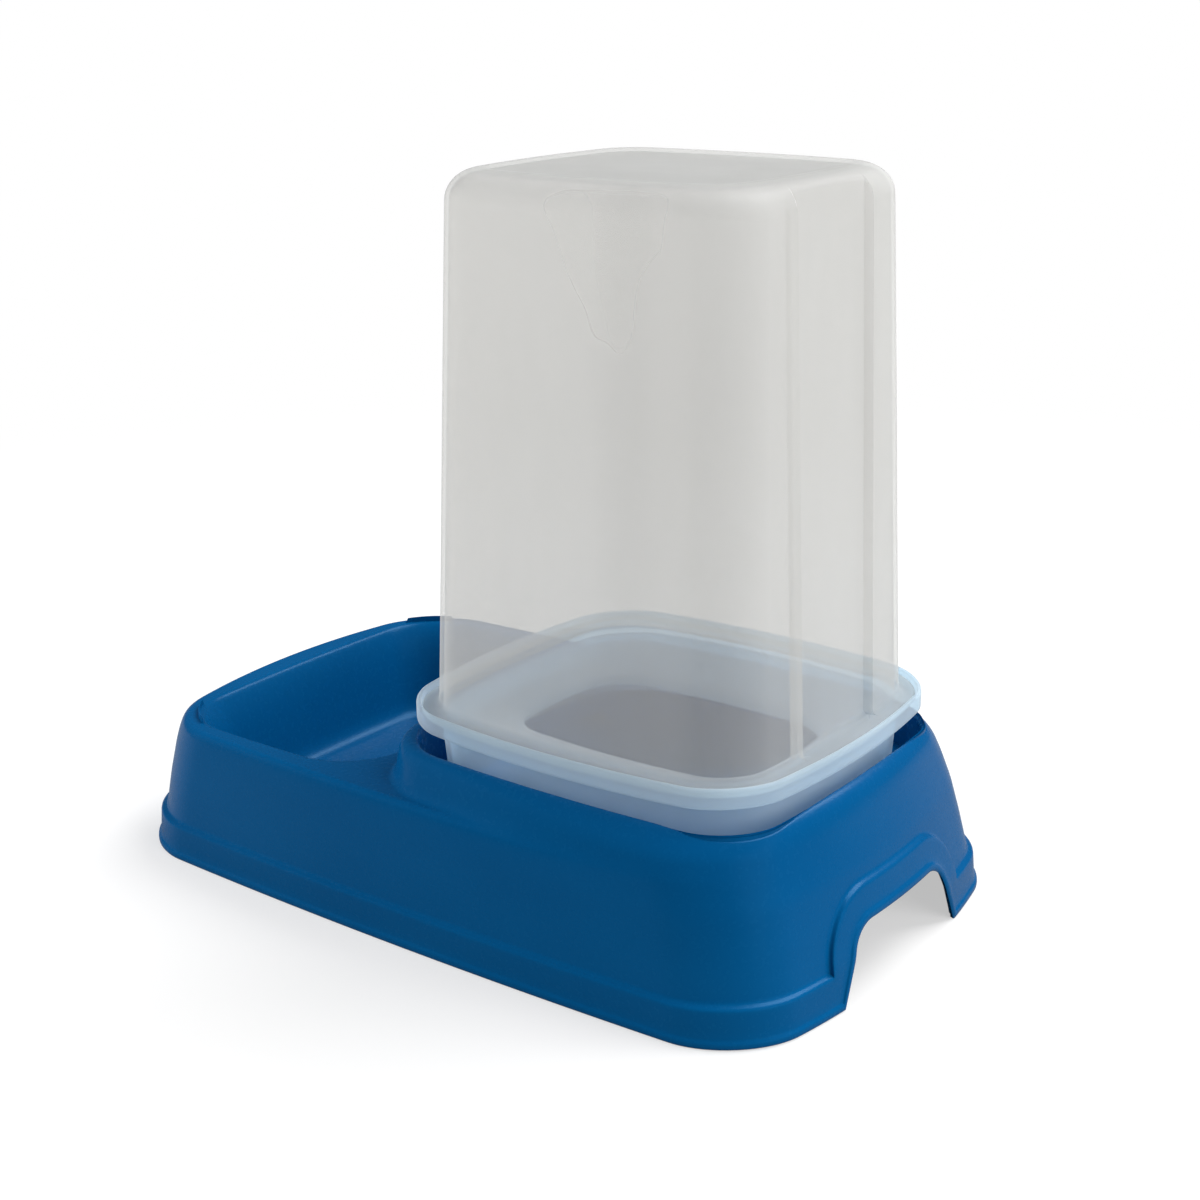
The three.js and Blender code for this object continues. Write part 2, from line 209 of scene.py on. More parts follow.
def make_mesh(name, points, faces, material, sharp=50):
    """A smooth mesh object from points in millimetres."""
    triangle = (faces[:, 2] == faces[:, 3]) | (faces[:, 0] == faces[:, 1])
    narrow = np.where((faces[:, 0] == faces[:, 1])[:, None], faces[:, [1, 2, 3]], faces[:, [0, 1, 2]])
    mesh = bpy.data.meshes.new(name)
    mesh.from_pydata((points * MM).tolist(), [], faces[~triangle].tolist() + narrow[triangle].tolist())
    mesh.polygons.foreach_set("use_smooth", [True] * len(mesh.polygons))
    mesh.set_sharp_from_angle(angle=math.radians(sharp))
    mesh.materials.append(material)
    piece = bpy.data.objects.new(name, mesh)
    bpy.context.scene.collection.objects.link(piece)
    return piece


# ---------------------------------------------------------------- base: walls, deck and socket block

BASE_LENGTH, BASE_WIDTH, BASE_CORNER = 327.0, 197.5, 28.0
BASE_BOW_X, BASE_BOW_Y = 13.5, 4.25
DECK = 55.0
SOCKET_TOP = 70.0
FOOT_BAND = 14.5
FOOT_STEP = 1.9  # how far the band stands proud
BEAD = 0.8  # and how far the bead stands proud of the band
SHELL = 2.3  # wall thickness
RIM_THINNING, RIM_START, RIM_RUN = 1.3, 60.0, 8.0  # how much less it is at the socket's rim, from where
FOOT_FLAT = 0.3  # points lower than this stand on the foot's flat edge, so their inner copy does too

WALL_LEVELS = [0, 16.5, 30, 44, 55, 62, 66, 68.6, 70, 74]
LEAN_BOWL_END = [2.7, 4, 6, 9, 12, 15, 17.6, 20, 22, 26]
LEAN_HOPPER_END = [2.7, 4, 7, 10.6, 14.4, 16.6, 18.2, 20.4, 22.6, 30]
LEAN_SIDES = [2.7, 3.3, 4.9, 6.6, 8.5, 11, 14.2, 17.8, 20.2, 28]


def wall_outline(z, proud=0.0):
    """Half sizes, corner, bows and centre of the base's wall at height z, for outline()."""
    left = eased(z, WALL_LEVELS, LEAN_BOWL_END) - proud
    right = eased(z, WALL_LEVELS, LEAN_HOPPER_END) - proud
    side = eased(z, WALL_LEVELS, LEAN_SIDES) - proud
    return ((BASE_LENGTH - left - right) / 2, BASE_WIDTH / 2 - side, BASE_CORNER,
            BASE_BOW_X, BASE_BOW_Y, (left - right) / 2)


BLOCK_LEVELS = [38, 47, 55, 62, 66, 68.3, 69.6, 70, 72]
BLOCK_LEFT = [-33, -31, -29, -27.9, -27, -25.8, -24.2, -22.9, -19]
BLOCK_HALF_WIDTH = [94, 91, 88.4, 86, 84.2, 82.4, 80.8, 79.4, 74]
BLOCK_CORNER = [36, 33, 31, 28, 25.5, 23.5, 22.6, 22, 20]
BLOCK_RIGHT = 200.0  # past the hopper end, where the wall takes over
BLOCK_BOW = 7.6
BLOCK_FILLET = 7.0  # where the block rises from the deck
EDGE_ROUND = 7.5  # at the deck's edge
EDGE_NARROWING = 5.5  # how much less it is where the block stands on the wall
NARROWING_RISE = 7.0  # how far above the deck all of that is reached


def block_outline(z):
    """The socket block's outer wall at height z, for outline()."""
    left = eased(z, BLOCK_LEVELS, BLOCK_LEFT, 0.6)
    return ((BLOCK_RIGHT - left) / 2, eased(z, BLOCK_LEVELS, BLOCK_HALF_WIDTH, 0.6),
            eased(z, BLOCK_LEVELS, BLOCK_CORNER, 0.6), 0.0, BLOCK_BOW, (BLOCK_RIGHT + left) / 2)


def top_height(x, y):
    """Height of the base's outer surface over a point in plan.

    The wall rises to soft_min(wall, soft_max(deck, block)): the wall and block heights are where
    their leaning outlines pass through the point. The round at the deck's edge is wide, and narrows
    where the block stands on the wall.
    """
    levels = np.concatenate([np.arange(38, 66, 1.0), np.arange(66, SOCKET_TOP + 0.01, 0.4)])
    wall = crossing(np.stack([plan_distance(x, y, *wall_outline(z)) for z in levels]), levels)
    block = crossing(np.stack([plan_distance(x, y, *block_outline(z)) for z in levels]), levels)
    raised = soft_max(DECK, block, BLOCK_FILLET)
    edge_round = EDGE_ROUND - EDGE_NARROWING * ramp((raised - DECK) / NARROWING_RISE)
    return soft_min(wall, raised, edge_round)


# the arch of the hand-hold: a half outline of the edge, and of the proud border round it
ARCH_CENTRE = (20.5, 14.3)
ARCH_RADIUS = 12.5
BORDER_RADIUS = 25.0
ARCH_FOOT = 40.2
ARCH_LEAN = math.radians(23.2)
BORDER_BEND_END = math.radians(35)  # how far down the border's round the corner run of columns goes
JOIN_SPREAD = 27.0  # how far past ARCH_CENTRE the arch's columns spread by WALL_JOIN
END_SHARE = 0.97  # the hopper end's columns reach this share of its half side


def end_width(z):
    """Half length of the straight part of the hopper end at height z."""
    half = wall_outline(z)
    return half[1] - BASE_BOW_Y - BASE_CORNER


def hand_hold_columns():
    """Paths (y, z) that the columns of the hopper end follow: its edge, the step line, and WALL_JOIN.

    The last has no z of its own. "away" is the way in which the columns leave the step line. Each path
    has four matched runs: over the arch's flat top, round its corner, down its side, and along the
    foot to the base's corner.
    """
    flat = np.linspace(0, 1, 9)[:-1]
    bend = np.linspace(0, 1, 13)[:-1]
    drop = np.linspace(0, 1, 11)[:-1]
    foot = np.linspace(0, 1, 13)
    cy, cz = ARCH_CENTRE
    turn = math.pi / 2 + (ARCH_LEAN - math.pi / 2) * bend
    side_y, side_z = cy + ARCH_RADIUS * math.cos(ARCH_LEAN), cz + ARCH_RADIUS * math.sin(ARCH_LEAN)
    edge_y = [flat * cy, cy + ARCH_RADIUS * np.cos(turn), side_y + (ARCH_FOOT - side_y) * drop,
              ARCH_FOOT + (END_SHARE * end_width(0.0) - ARCH_FOOT) * foot]
    edge_z = [flat * 0 + cz + ARCH_RADIUS, cz + ARCH_RADIUS * np.sin(turn), side_z * (1 - drop), foot * 0]
    outer = np.concatenate([math.pi / 2 + (BORDER_BEND_END - math.pi / 2) * bend,
                            BORDER_BEND_END * (1 - drop)])
    split = len(bend)
    last_y = END_SHARE * end_width(FOOT_BAND)
    step_y = [flat * cy, cy + BORDER_RADIUS * np.cos(outer[:split]),
              cy + BORDER_RADIUS * np.cos(outer[split:]),
              cy + BORDER_RADIUS + (last_y - cy - BORDER_RADIUS) * foot]
    step_z = [flat * 0 + cz + BORDER_RADIUS, cz + BORDER_RADIUS * np.sin(outer[:split]),
              cz + BORDER_RADIUS * np.sin(outer[split:]), foot * 0 + FOOT_BAND]
    away_y = [flat * 0, np.cos(outer[:split]), np.cos(outer[split:]) * (1 - 0.3 * drop),
              0.7 * (1 - ramp(foot * 3))]
    away_z = [flat * 0 + 1, np.sin(outer[:split]), np.maximum(np.sin(outer[split:]), 0.7 * drop),
              0.7 + 0.3 * ramp(foot * 3)]
    run = np.concatenate([bend, 1 + drop]) / 2
    join_y = [flat * cy, cy + JOIN_SPREAD * run[:split], cy + JOIN_SPREAD * run[split:],
              cy + JOIN_SPREAD + (END_SHARE * end_width(WALL_JOIN) - cy - JOIN_SPREAD) * foot]
    return [np.concatenate(v) for v in (edge_y, edge_z, step_y, step_z, away_y, away_z, join_y)]


WALL_JOIN = 46.0  # below this level the wall follows its own outline, above it top_height()
TOP_JOIN = 65.0  # the wall's outline here is where the walls' patch meets the patches of bowl and socket
SPLIT_X = -31.0  # plane between the bowl's patch and the socket's


def wall_columns():
    """The columns of the half with y > 0, at the foot edge, the step line and the join.

    "edge" and "step" hold u and height, "away" the way in which the columns leave the step line, "join"
    u, and "split" the u where the patches of bowl and socket part.
    """
    edge_y, edge_z, step_y, step_z, away_y, away_z, join_y = hand_hold_columns()
    half = wall_outline(TOP_JOIN)
    reach = half[0] - BASE_BOW_X - BASE_CORNER
    split = 3 - (SPLIT_X - half[5]) / reach
    rest = np.concatenate([
        np.linspace(END_SHARE, 2, 19)[1:], np.linspace(2, split, 56)[1:], np.linspace(split, 4, 28)[1:],
        np.linspace(4, 5, 19)[1:], np.linspace(5, 6, 18)[1:]])
    zero = rest * 0
    u_edge = np.concatenate([edge_y / end_width(edge_z), rest])
    u_step = np.concatenate([step_y / end_width(step_z), rest])
    u_join = np.concatenate([join_y / end_width(WALL_JOIN), rest])
    return {
        "edge": (u_edge, np.concatenate([edge_z, zero])),
        "step": (u_step, np.concatenate([step_z, zero + FOOT_BAND])),
        "away": (np.concatenate([away_y, zero]) / end_width(20.0), np.concatenate([away_z, zero + 1])),
        "join": u_join,
        "split": split,
    }


# rows of the foot band: distance from its edge, share of the bead
BEAD_ROWS = np.array([[0, 0.1], [0.25, 0.55], [0.7, 0.9], [1.3, 1], [2.0, 1], [2.5, 0.9], [2.9, 0.55],
                      [3.3, 0.15], [3.8, 0]])
# rows over the band's top step: distance from the step line, share of the step
STEP_ROWS = np.array([[-1.3, 1], [-0.7, 0.96], [-0.25, 0.84], [0.1, 0.6], [0.45, 0.3], [0.8, 0.12],
                      [1.3, 0.03], [2.0, 0]])


def wall_patch():
    """The outer wall from its foot edge to TOP_JOIN, as rows of closed rings round the base.

    A row lies between the foot edge and the step line, then between that and WALL_JOIN, then follows
    the wall's outline up and in over the deck's edge, at height top_height().
    """
    column = wall_columns()
    u_edge, z_edge = column["edge"]
    u_step, z_step = column["step"]
    u_away, z_away = column["away"]
    u_join = column["join"]
    us, zs, prouds = [], [], []
    width = np.hypot((u_step - u_edge) * end_width(10.0), z_step - z_edge)
    for distance, bead in BEAD_ROWS:
        share = distance / width
        us.append(u_edge + (u_step - u_edge) * share)
        zs.append(z_edge + (z_step - z_edge) * share)
        prouds.append(FOOT_STEP + BEAD * bead)
    start, end = BEAD_ROWS[-1, 0] / width, 1 + STEP_ROWS[0, 0] / width
    for t in (0.3, 0.6, 0.85):
        share = start + (end - start) * t
        us.append(u_edge + (u_step - u_edge) * share)
        zs.append(z_edge + (z_step - z_edge) * share)
        prouds.append(FOOT_STEP)
    for distance, step in STEP_ROWS:
        if distance < 0:
            share = 1 + distance / width
            us.append(u_edge + (u_step - u_edge) * share)
            zs.append(z_edge + (z_step - z_edge) * share)
        else:
            us.append(u_step + u_away * distance)
            zs.append(z_step + z_away * distance)
        prouds.append(FOOT_STEP * step)
    u_low, z_low = us[-1], zs[-1]
    for t in np.linspace(0, 1, 11)[1:]:
        us.append(u_low + (u_join - u_low) * t)
        zs.append(z_low + (WALL_JOIN - z_low) * t)
        prouds.append(0.0)
    us, zs = np.array(us), np.array(zs)
    x, y = outline(us, *wall_outline(zs, np.array(prouds)[:, None]))
    levels = np.linspace(WALL_JOIN, TOP_JOIN, 22)[1:, None]
    top_x, top_y = outline(u_join + 0 * levels, *wall_outline(levels))
    top = top_height(top_x, top_y)
    half = np.stack([np.concatenate([x, top_x]), np.concatenate([y, top_y]), np.concatenate([zs, top])],
                    axis=-1)
    mirror = half[:, -2:0:-1] * [1, -1, 1]
    return np.concatenate([half, mirror], axis=1), u_join, column["split"]


# ---------------------------------------------------------------- base: bowl, socket and chamber

BOWL_LEFT, BOWL_RIGHT, BOWL_HALF_WIDTH = -138.5, -33.5, 78.5
BOWL_CORNER, BOWL_BOW_X, BOWL_BOW_Y = 25.0, 3.0, 1.5
BOWL_FLOOR = 14.0
SOCKET_X, SOCKET_HALF_X, SOCKET_HALF_Y, SOCKET_CORNER, SOCKET_BOW = 58.6, 80.9, 76.6, 22.0, 4.0
LEDGE = 52.0
CHAMBER = (72.0, 66.0, 22.0, 3.0, 3.0, 58.0)  # half sizes, corner, bows and centre, for outline()
CHUTE_END_X, CHUTE_TOP = 128.0, 50.0
PASSAGE_HALF, PASSAGE_TOP, PASSAGE_ROUND = 52.0, 44.0, 8.0
CORNER_CUTS, PASSAGE_CUTS = 16, 44  # steps of the line across the deck beside the passage and over it
OFF_LINE = 99.0  # stands for the y of a column that is not on that line
CHAMBER_ROOF_SHARE = 0.8  # how high towards the ledge the chamber's walls have their roof row
SOCKET_DRAFT, SOCKET_RISE = 1.8, 16.5  # how far the socket's wall leans out, over what height
SOCKET_EDGE = 1.3  # round at the socket's mouth
RIM_ROWS, RIM_CROWDING = 35, 1.7  # rows from the mouth out to the wall, and how they crowd at the wall

# the bowl's side in section, from the floor out over the rim: lean inwards from the rim line, height
BOWL_SECTION = np.array([
    [22, 14], [18.5, 14.05], [16, 14.5], [13.9, 15.6], [12.2, 17.2], [11, 19.2], [10.1, 21.8], [9.1, 26],
    [7.6, 32], [6.1, 38], [4.6, 44], [3, 48.5], [1.6, 51.6], [0.9, 52.8], [0.35, 53.7], [-0.2, 54.35],
    [-0.9, 54.8], [-1.7, 55]])
BOWL_FOOT_ROW, BOWL_ROOF_ROW = 0, 10


def bowl_ring(u, lean):
    """Plan of the bowl's outline that leans in from the rim line by so much."""
    left, right = BOWL_LEFT + lean, BOWL_RIGHT - lean / 2
    return outline(u, (right - left) / 2, BOWL_HALF_WIDTH - lean, BOWL_CORNER - lean * 0.4,
                   BOWL_BOW_X, BOWL_BOW_Y, (left + right) / 2)


def passage_roof(y):
    """Height of the roof of the passage from the chamber to the bowl, round at its two sides."""
    over = np.clip(np.abs(y) - (PASSAGE_HALF - PASSAGE_ROUND), 0, PASSAGE_ROUND)
    return PASSAGE_TOP - PASSAGE_ROUND + np.sqrt(PASSAGE_ROUND ** 2 - over ** 2)


def chute(x):
    """Height of the sloping chamber floor."""
    return np.clip(BOWL_FLOOR + (CHUTE_TOP - BOWL_FLOOR) * x / CHUTE_END_X, BOWL_FLOOR, CHUTE_TOP)


def base_surface():
    """All the base's outer skin as one welded sheet, its faces turned outwards."""
    sheet = Sheet()
    wall, u_join, split = wall_patch()
    sheet.add(wall, closed=True, flip=True)
    ring = wall[-1]
    at_split = int(np.argmin(np.abs(u_join - split)))

    # the line across the deck where the two patches meet, from +y to -y
    end_y = ring[at_split, 1]
    passage_y = np.linspace(PASSAGE_HALF, -PASSAGE_HALF, PASSAGE_CUTS + 1)
    corner_y = np.linspace(end_y, PASSAGE_HALF, CORNER_CUTS + 1)
    line_y = np.concatenate([corner_y[:-1], passage_y, -corner_y[::-1][1:]])
    line = np.stack([line_y * 0 + SPLIT_X, line_y, line_y * 0], axis=-1)
    line[:, 2] = top_height(line[:, 0], line[:, 1])
    line[0], line[-1] = ring[at_split], ring[at_split] * [1, -1, 1]
    last_passage = CORNER_CUTS + PASSAGE_CUTS

    # bowl: the columns run from the line's +y end round the -X end to its -y end, then back up the line
    around = ring[at_split:len(wall[-1]) - at_split + 1]
    u_bowl_half = np.interp(u_join[at_split:], [split, split + 0.17, 4, 5, 6], [1.55, 2, 4, 5, 6])
    u_bowl = np.concatenate([u_bowl_half, 12 - u_bowl_half[:-1][::-1]])
    line_u_bowl = np.interp(np.abs(line_y), [0, PASSAGE_HALF, end_y], [0, 1, 1.55]) * np.sign(line_y)
    edge = np.concatenate([around, line[::-1][1:-1]])
    u_all = np.concatenate([u_bowl, line_u_bowl[::-1][1:-1]])
    y_line = np.concatenate([u_bowl * 0 + OFF_LINE, line_y[::-1][1:-1]])
    in_passage = np.abs(y_line) <= PASSAGE_HALF + 1e-6

    z = np.repeat(BOWL_SECTION[:, 1:], len(u_all), axis=1)
    roof = np.where(in_passage, passage_roof(np.where(in_passage, y_line, 0)), PASSAGE_TOP)
    below = BOWL_FLOOR + (z - BOWL_FLOOR) * (roof - BOWL_FLOOR) / (PASSAGE_TOP - BOWL_FLOOR)
    above = roof + (z - PASSAGE_TOP) * (DECK - roof) / (DECK - PASSAGE_TOP)
    z = np.where(z <= PASSAGE_TOP, below, above)
    lean = np.interp(z, BOWL_SECTION[:, 1], BOWL_SECTION[:, 0])
    x, y = bowl_ring(u_all, lean)
    side = np.stack([x, y, z], axis=-1)
    centre = np.array([(BOWL_LEFT + BOWL_RIGHT) / 2 - 4, 0, BOWL_FLOOR])
    floor = centre + (side[0] - centre) * np.linspace(0, 1, 9)[:, None, None]
    deck = side[-1] + (edge - side[-1]) * np.linspace(0, 1, 9)[:, None, None]
    deck[1:-1, :, 2] = top_height(deck[1:-1, :, 0], deck[1:-1, :, 1])
    sheet.add(floor, closed=True)
    passage_cells = in_passage & np.roll(in_passage, -1)
    keep = np.ones((len(side) - 1, len(u_all)), dtype=bool)
    keep[BOWL_FOOT_ROW:BOWL_ROOF_ROW, passage_cells] = False
    sheet.add(side, closed=True, keep=keep)
    sheet.add(deck, closed=True)
    bowl_side = side

    # socket: the columns run from the line's -y end round the +X end to its +y end, then down the line
    half_u = u_join[:at_split + 1]
    socket_half = np.interp(half_u, [0, 1, 2, 2 + (split - 2) * 0.86, split], [0, 1, 2, 4, 4.5])
    chamber_half = np.interp(half_u, [0, 1, 2, 2 + (split - 2) * 0.84, split], [0, 1, 2, 4, 4.4])
    u_socket = np.concatenate([-socket_half[::-1], socket_half[1:]])
    u_chamber = np.concatenate([-chamber_half[::-1], chamber_half[1:]])
    around = np.concatenate([ring[len(ring) - at_split:], ring[:at_split + 1]])
    line_u_socket = np.interp(np.abs(line_y), [0, 50.6, end_y], [6, 5, 4.5])
    line_u_chamber = np.interp(np.abs(line_y), [0, 41, PASSAGE_HALF, end_y], [6, 5, 4 + 2 / 3, 4.4])
    chamber_side_y = np.where(line_y < 0, 12 - line_u_chamber, line_u_chamber)
    socket_side_y = np.where(line_y < 0, 12 - line_u_socket, line_u_socket)
    edge = np.concatenate([around, line[1:-1]])
    u_socket = np.concatenate([u_socket, socket_side_y[1:-1]])
    u_chamber = np.concatenate([u_chamber, chamber_side_y[1:-1]])
    y_line = np.concatenate([half_u * 0 + OFF_LINE, half_u[1:] * 0 + OFF_LINE, line_y[1:-1]])
    in_passage = np.abs(y_line) <= PASSAGE_HALF + 1e-6

    x, y = outline(u_chamber, *CHAMBER)
    foot_z = chute(x)
    roof = np.where(in_passage, passage_roof(np.where(in_passage, y_line, 0)),
                    foot_z + (LEDGE - foot_z) * CHAMBER_ROOF_SHARE)
    rows = [foot_z + (roof - foot_z) * (row / BOWL_ROOF_ROW) for row in range(BOWL_ROOF_ROW + 1)]
    rows += [roof + (LEDGE - roof) * t for t in (0.4, 0.8, 1)]
    chamber_side = np.stack([np.stack([x, y, z], axis=-1) for z in rows])
    centre = np.array([SOCKET_X, 0, 0.0])
    floor = centre + (chamber_side[0] - centre) * np.linspace(0, 1, 13)[:, None, None]
    floor[..., 2] = chute(floor[..., 0])
    sheet.add(floor, closed=True)
    passage_cells = in_passage & np.roll(in_passage, -1)
    keep = np.ones((len(chamber_side) - 1, len(x)), dtype=bool)
    keep[:BOWL_ROOF_ROW, passage_cells] = False
    sheet.add(chamber_side, closed=True, keep=keep)

    def socket_ring(outset, z):
        plan = outline(u_socket, SOCKET_HALF_X + outset, SOCKET_HALF_Y + outset, SOCKET_CORNER + outset,
                       SOCKET_BOW, SOCKET_BOW, SOCKET_X)
        return np.stack([*plan, z + 0 * plan[0]], axis=-1)

    socket = [socket_ring(-SOCKET_DRAFT + SOCKET_DRAFT * t, LEDGE + SOCKET_RISE * t)
              for t in (0, 0.04, 0.3, 0.6, 0.85, 1)]
    ledge = chamber_side[-1] + (socket[0] - chamber_side[-1]) * np.linspace(0, 1, 4)[:, None, None]
    sheet.add(ledge, closed=True)
    for angle in np.radians([20, 45, 70, 90]):
        outset = SOCKET_EDGE * (1 - math.cos(angle))
        lip = socket_ring(outset, 0.0)
        lip[..., 2] = top_height(lip[..., 0], lip[..., 1]) - SOCKET_EDGE * (1 - math.sin(angle))
        socket.append(lip)
    socket = np.stack(socket)
    sheet.add(socket, closed=True)
    outward = 1 - (1 - np.linspace(0, 1, RIM_ROWS)) ** RIM_CROWDING
    top = socket[-1] + (edge - socket[-1]) * outward[:, None, None]
    top[1:-1, :, 2] = top_height(top[1:-1, :, 0], top[1:-1, :, 1])
    sheet.add(top, closed=True)

    # passage: the bowl's columns run up in y along the line and the chamber's run down
    bowl_start = len(u_bowl) + (len(line_y) - 1 - last_passage) - 1
    bowl_columns = np.arange(bowl_start, bowl_start + PASSAGE_CUTS + 1)
    chamber_start = len(around) + CORNER_CUTS - 1
    chamber_columns = np.arange(chamber_start, chamber_start + PASSAGE_CUTS + 1)[::-1]
    across = np.linspace(0, 1, 9)[:, None, None]
    for row, flip in ((BOWL_FOOT_ROW, False), (BOWL_ROOF_ROW, True)):
        start = bowl_side[row, bowl_columns]
        end = chamber_side[row, chamber_columns]
        sheet.add(start + (end - start) * across, flip=flip)
    for place, flip in ((0, True), (-1, False)):
        start = bowl_side[:BOWL_ROOF_ROW + 1, bowl_columns[place]]
        end = chamber_side[:BOWL_ROOF_ROW + 1, chamber_columns[place]]
        sheet.add(start + (end - start) * across, flip=flip)
    points, faces = sheet.welded()
    return points, faces[:, ::-1]


def base_moulding(material):
    """The base's outer skin and an inner one SHELL below it, thinner at the socket's rim."""
    points, faces = base_surface()
    depth = SHELL - RIM_THINNING * ramp((points[:, 2] - RIM_START) / RIM_RUN)
    inner = points - vertex_normals(points, faces) * depth[:, None]
    inner[:, 2] = np.where(points[:, 2] < FOOT_FLAT, points[:, 2], inner[:, 2])
    return make_mesh("base_moulding", *thickened(points, faces, inner), material)


# ---------------------------------------------------------------- funnel lid

HOPPER_X = 57.1
LID_BOW = 7.6

# the lid in section, round its closed outline: half sizes, corner, bow, height
LID_SECTION = np.array([
    [83.35, 77.45, 21.6, 7.6, 76.6], [83.75, 77.85, 21.8, 7.6, 76.85], [84.0, 78.1, 22, 7.6, 77.3],
    [84.05, 78.15, 22, 7.6, 78.2], [84.05, 78.15, 22, 7.6, 83.0], [83.95, 78.05, 22, 7.6, 83.6],
    [83.6, 77.7, 21.7, 7.6, 84.1], [83.15, 77.25, 21.3, 7.6, 84.28], [82.7, 76.8, 20.9, 7.6, 84.1],
    [82.4, 76.5, 20.6, 7.6, 83.6], [82.25, 76.35, 20.5, 7.6, 82.8], [82.2, 76.3, 20.4, 7.6, 80.9],
    [82.0, 76.1, 20.2, 7.6, 80.4], [81.5, 75.6, 19.8, 7.6, 80.2], [74, 68, 18.4, 6.2, 80.2],
    [69.4, 62.4, 18, 5.2, 80.2], [68.5, 61.5, 18, 5, 80.0], [67.7, 60.5, 18, 5, 79.4],
    [64.5, 53.5, 17.2, 4.7, 76.7], [59.8, 46.1, 16.2, 4.4, 73.7], [56.2, 40.2, 15.2, 4.1, 71.2],
    [55.4, 38.7, 15, 4, 70.4], [55.1, 38.1, 15, 4, 69.6], [55, 38, 15, 4, 66.5], [55.3, 38.3, 15.3, 4, 66.1],
    [55.9, 38.9, 15.9, 4, 66.0], [56.5, 39.5, 16.4, 4, 66.2], [56.8, 39.8, 16.6, 4, 66.8],
    [56.9, 39.9, 16.7, 4, 69.0], [57.6, 41.2, 16.8, 4.1, 69.9], [62.3, 49.3, 17.8, 4.4, 73.2],
    [67.6, 58.5, 18.8, 4.8, 76.6], [69.2, 61.6, 19.2, 5, 77.9], [70.3, 63.2, 19.4, 5.4, 78.35],
    [74.2, 68.0, 19.8, 7.6, 78.4], [75.1, 69.2, 20, 7.6, 78.1], [75.45, 69.55, 20.1, 7.6, 77.3],
    [74.9, 69.0, 20.1, 7.6, 68], [74.05, 68.15, 20.2, 7.6, 53.2], [74.15, 68.25, 20.3, 7.6, 52.6],
    [74.5, 68.6, 20.6, 7.6, 52.32], [75.1, 69.2, 21.2, 7.6, 52.32], [75.65, 69.75, 21.8, 7.6, 52.6],
    [75.85, 69.95, 22, 7.6, 53.2], [76.6, 70.7, 22, 7.6, 65], [77.25, 71.35, 22, 7.6, 76.6],
    [77.45, 71.55, 22, 7.6, 77.7], [77.9, 72.0, 21.9, 7.6, 78.25], [78.6, 72.7, 21.6, 7.6, 78.4],
    [81.3, 75.4, 20, 7.6, 78.4], [81.9, 76.0, 20.2, 7.6, 78.15], [82.2, 76.3, 20.4, 7.6, 77.6],
    [82.4, 76.5, 20.6, 7.6, 76.9], [82.8, 76.9, 21, 7.6, 76.6]])


def even_columns(side_steps, corner_steps):
    """u round a whole outline, with its sides and corners cut in even steps."""
    side = np.linspace(0, 2, side_steps + 1)[:-1]
    corner = np.linspace(0, 1, corner_steps + 1)[:-1]
    quarter = np.concatenate([side, 2 + corner])
    return np.concatenate([quarter - 1 + 3 * k for k in range(4)])


def funnel_lid(material):
    """The lid's section carried round its outline."""
    u = even_columns(20, 18)
    half_x, half_y, corner, bow, z = (LID_SECTION[:, k:k + 1] for k in range(5))
    x, y = outline(u, half_x, half_y, corner, bow, bow, HOPPER_X)
    rings = np.stack([x, y, z + 0 * x], axis=-1)
    sheet = Sheet()
    sheet.add(np.concatenate([rings, rings[:1]]), closed=True)
    return make_mesh("funnel_lid_moulding", *sheet.welded(), material)


# ---------------------------------------------------------------- hopper

HOPPER_HALF_X, HOPPER_HALF_Y, HOPPER_CORNER, HOPPER_BOW = 74.7, 68.2, 19.0, 4.4
HOPPER_FOOT, HOPPER_TOP = 80.5, 281.0
HOPPER_DRAFT = math.tan(math.radians(2))
HOPPER_EDGE = 10.8
HOPPER_WALL = 1.6
CORNER_PER_LEAN, CORNER_PER_ROUND = 0.3, 0.7  # how the plan corner shrinks with the draft and the edge
FLANGE_TOP = 82.3
FLANGE_FILLET = 2.2
FLANGE_HALF_X, FLANGE_HALF_Y, FLANGE_CORNER = 81.85, 75.95, 19.8
CHANNEL_HALF, CHANNEL_DEPTH, CHANNEL_FLARE = 25.0, 4.0, 1.1
CHANNEL_ROUND = 0.8  # where the channel meets the wall, and over which it starts above the flange
CHANNEL_CLEAR = 3.0  # how far past the wall the channel's floor is put outside the channel
DISH = 1.1  # how far the closed end sinks inside its rim


def tub_rows(inset, z):
    """Half sizes and corner of the tub's wall at heights z, shrunk by inset.

    The wall leans in by the draft and ends in a round of HOPPER_EDGE.
    """
    edge = HOPPER_EDGE - inset
    over = np.maximum(0, z - (HOPPER_TOP - inset - edge))
    turned = edge - np.sqrt(np.maximum(0, edge ** 2 - over ** 2))
    lean = (z - HOPPER_FOOT) * HOPPER_DRAFT
    shrink = lean + inset + turned
    corner = HOPPER_CORNER - inset - CORNER_PER_LEAN * lean - CORNER_PER_ROUND * turned
    return HOPPER_HALF_X - shrink, HOPPER_HALF_Y - shrink, corner


def channel_columns():
    """Columns of the tub: absolute y beside the channel on the +X side, then u round the rest."""
    fine = np.array([0, 6, 12, 17, 21, 22.6, 23.4, 23.9, 24.3, 24.7, 25.1, 25.5, 25.9, 26.3, 26.8, 27.6,
                     28.8])
    rest = np.concatenate([np.linspace(0, 1, 7)[1:], 1 + np.linspace(0, 1, 21)[1:],
                           2 + np.linspace(0, 2, 25)[1:], 4 + np.linspace(0, 1, 21)[1:],
                           5 + np.linspace(0, 1, 13)[1:]])
    return fine, rest


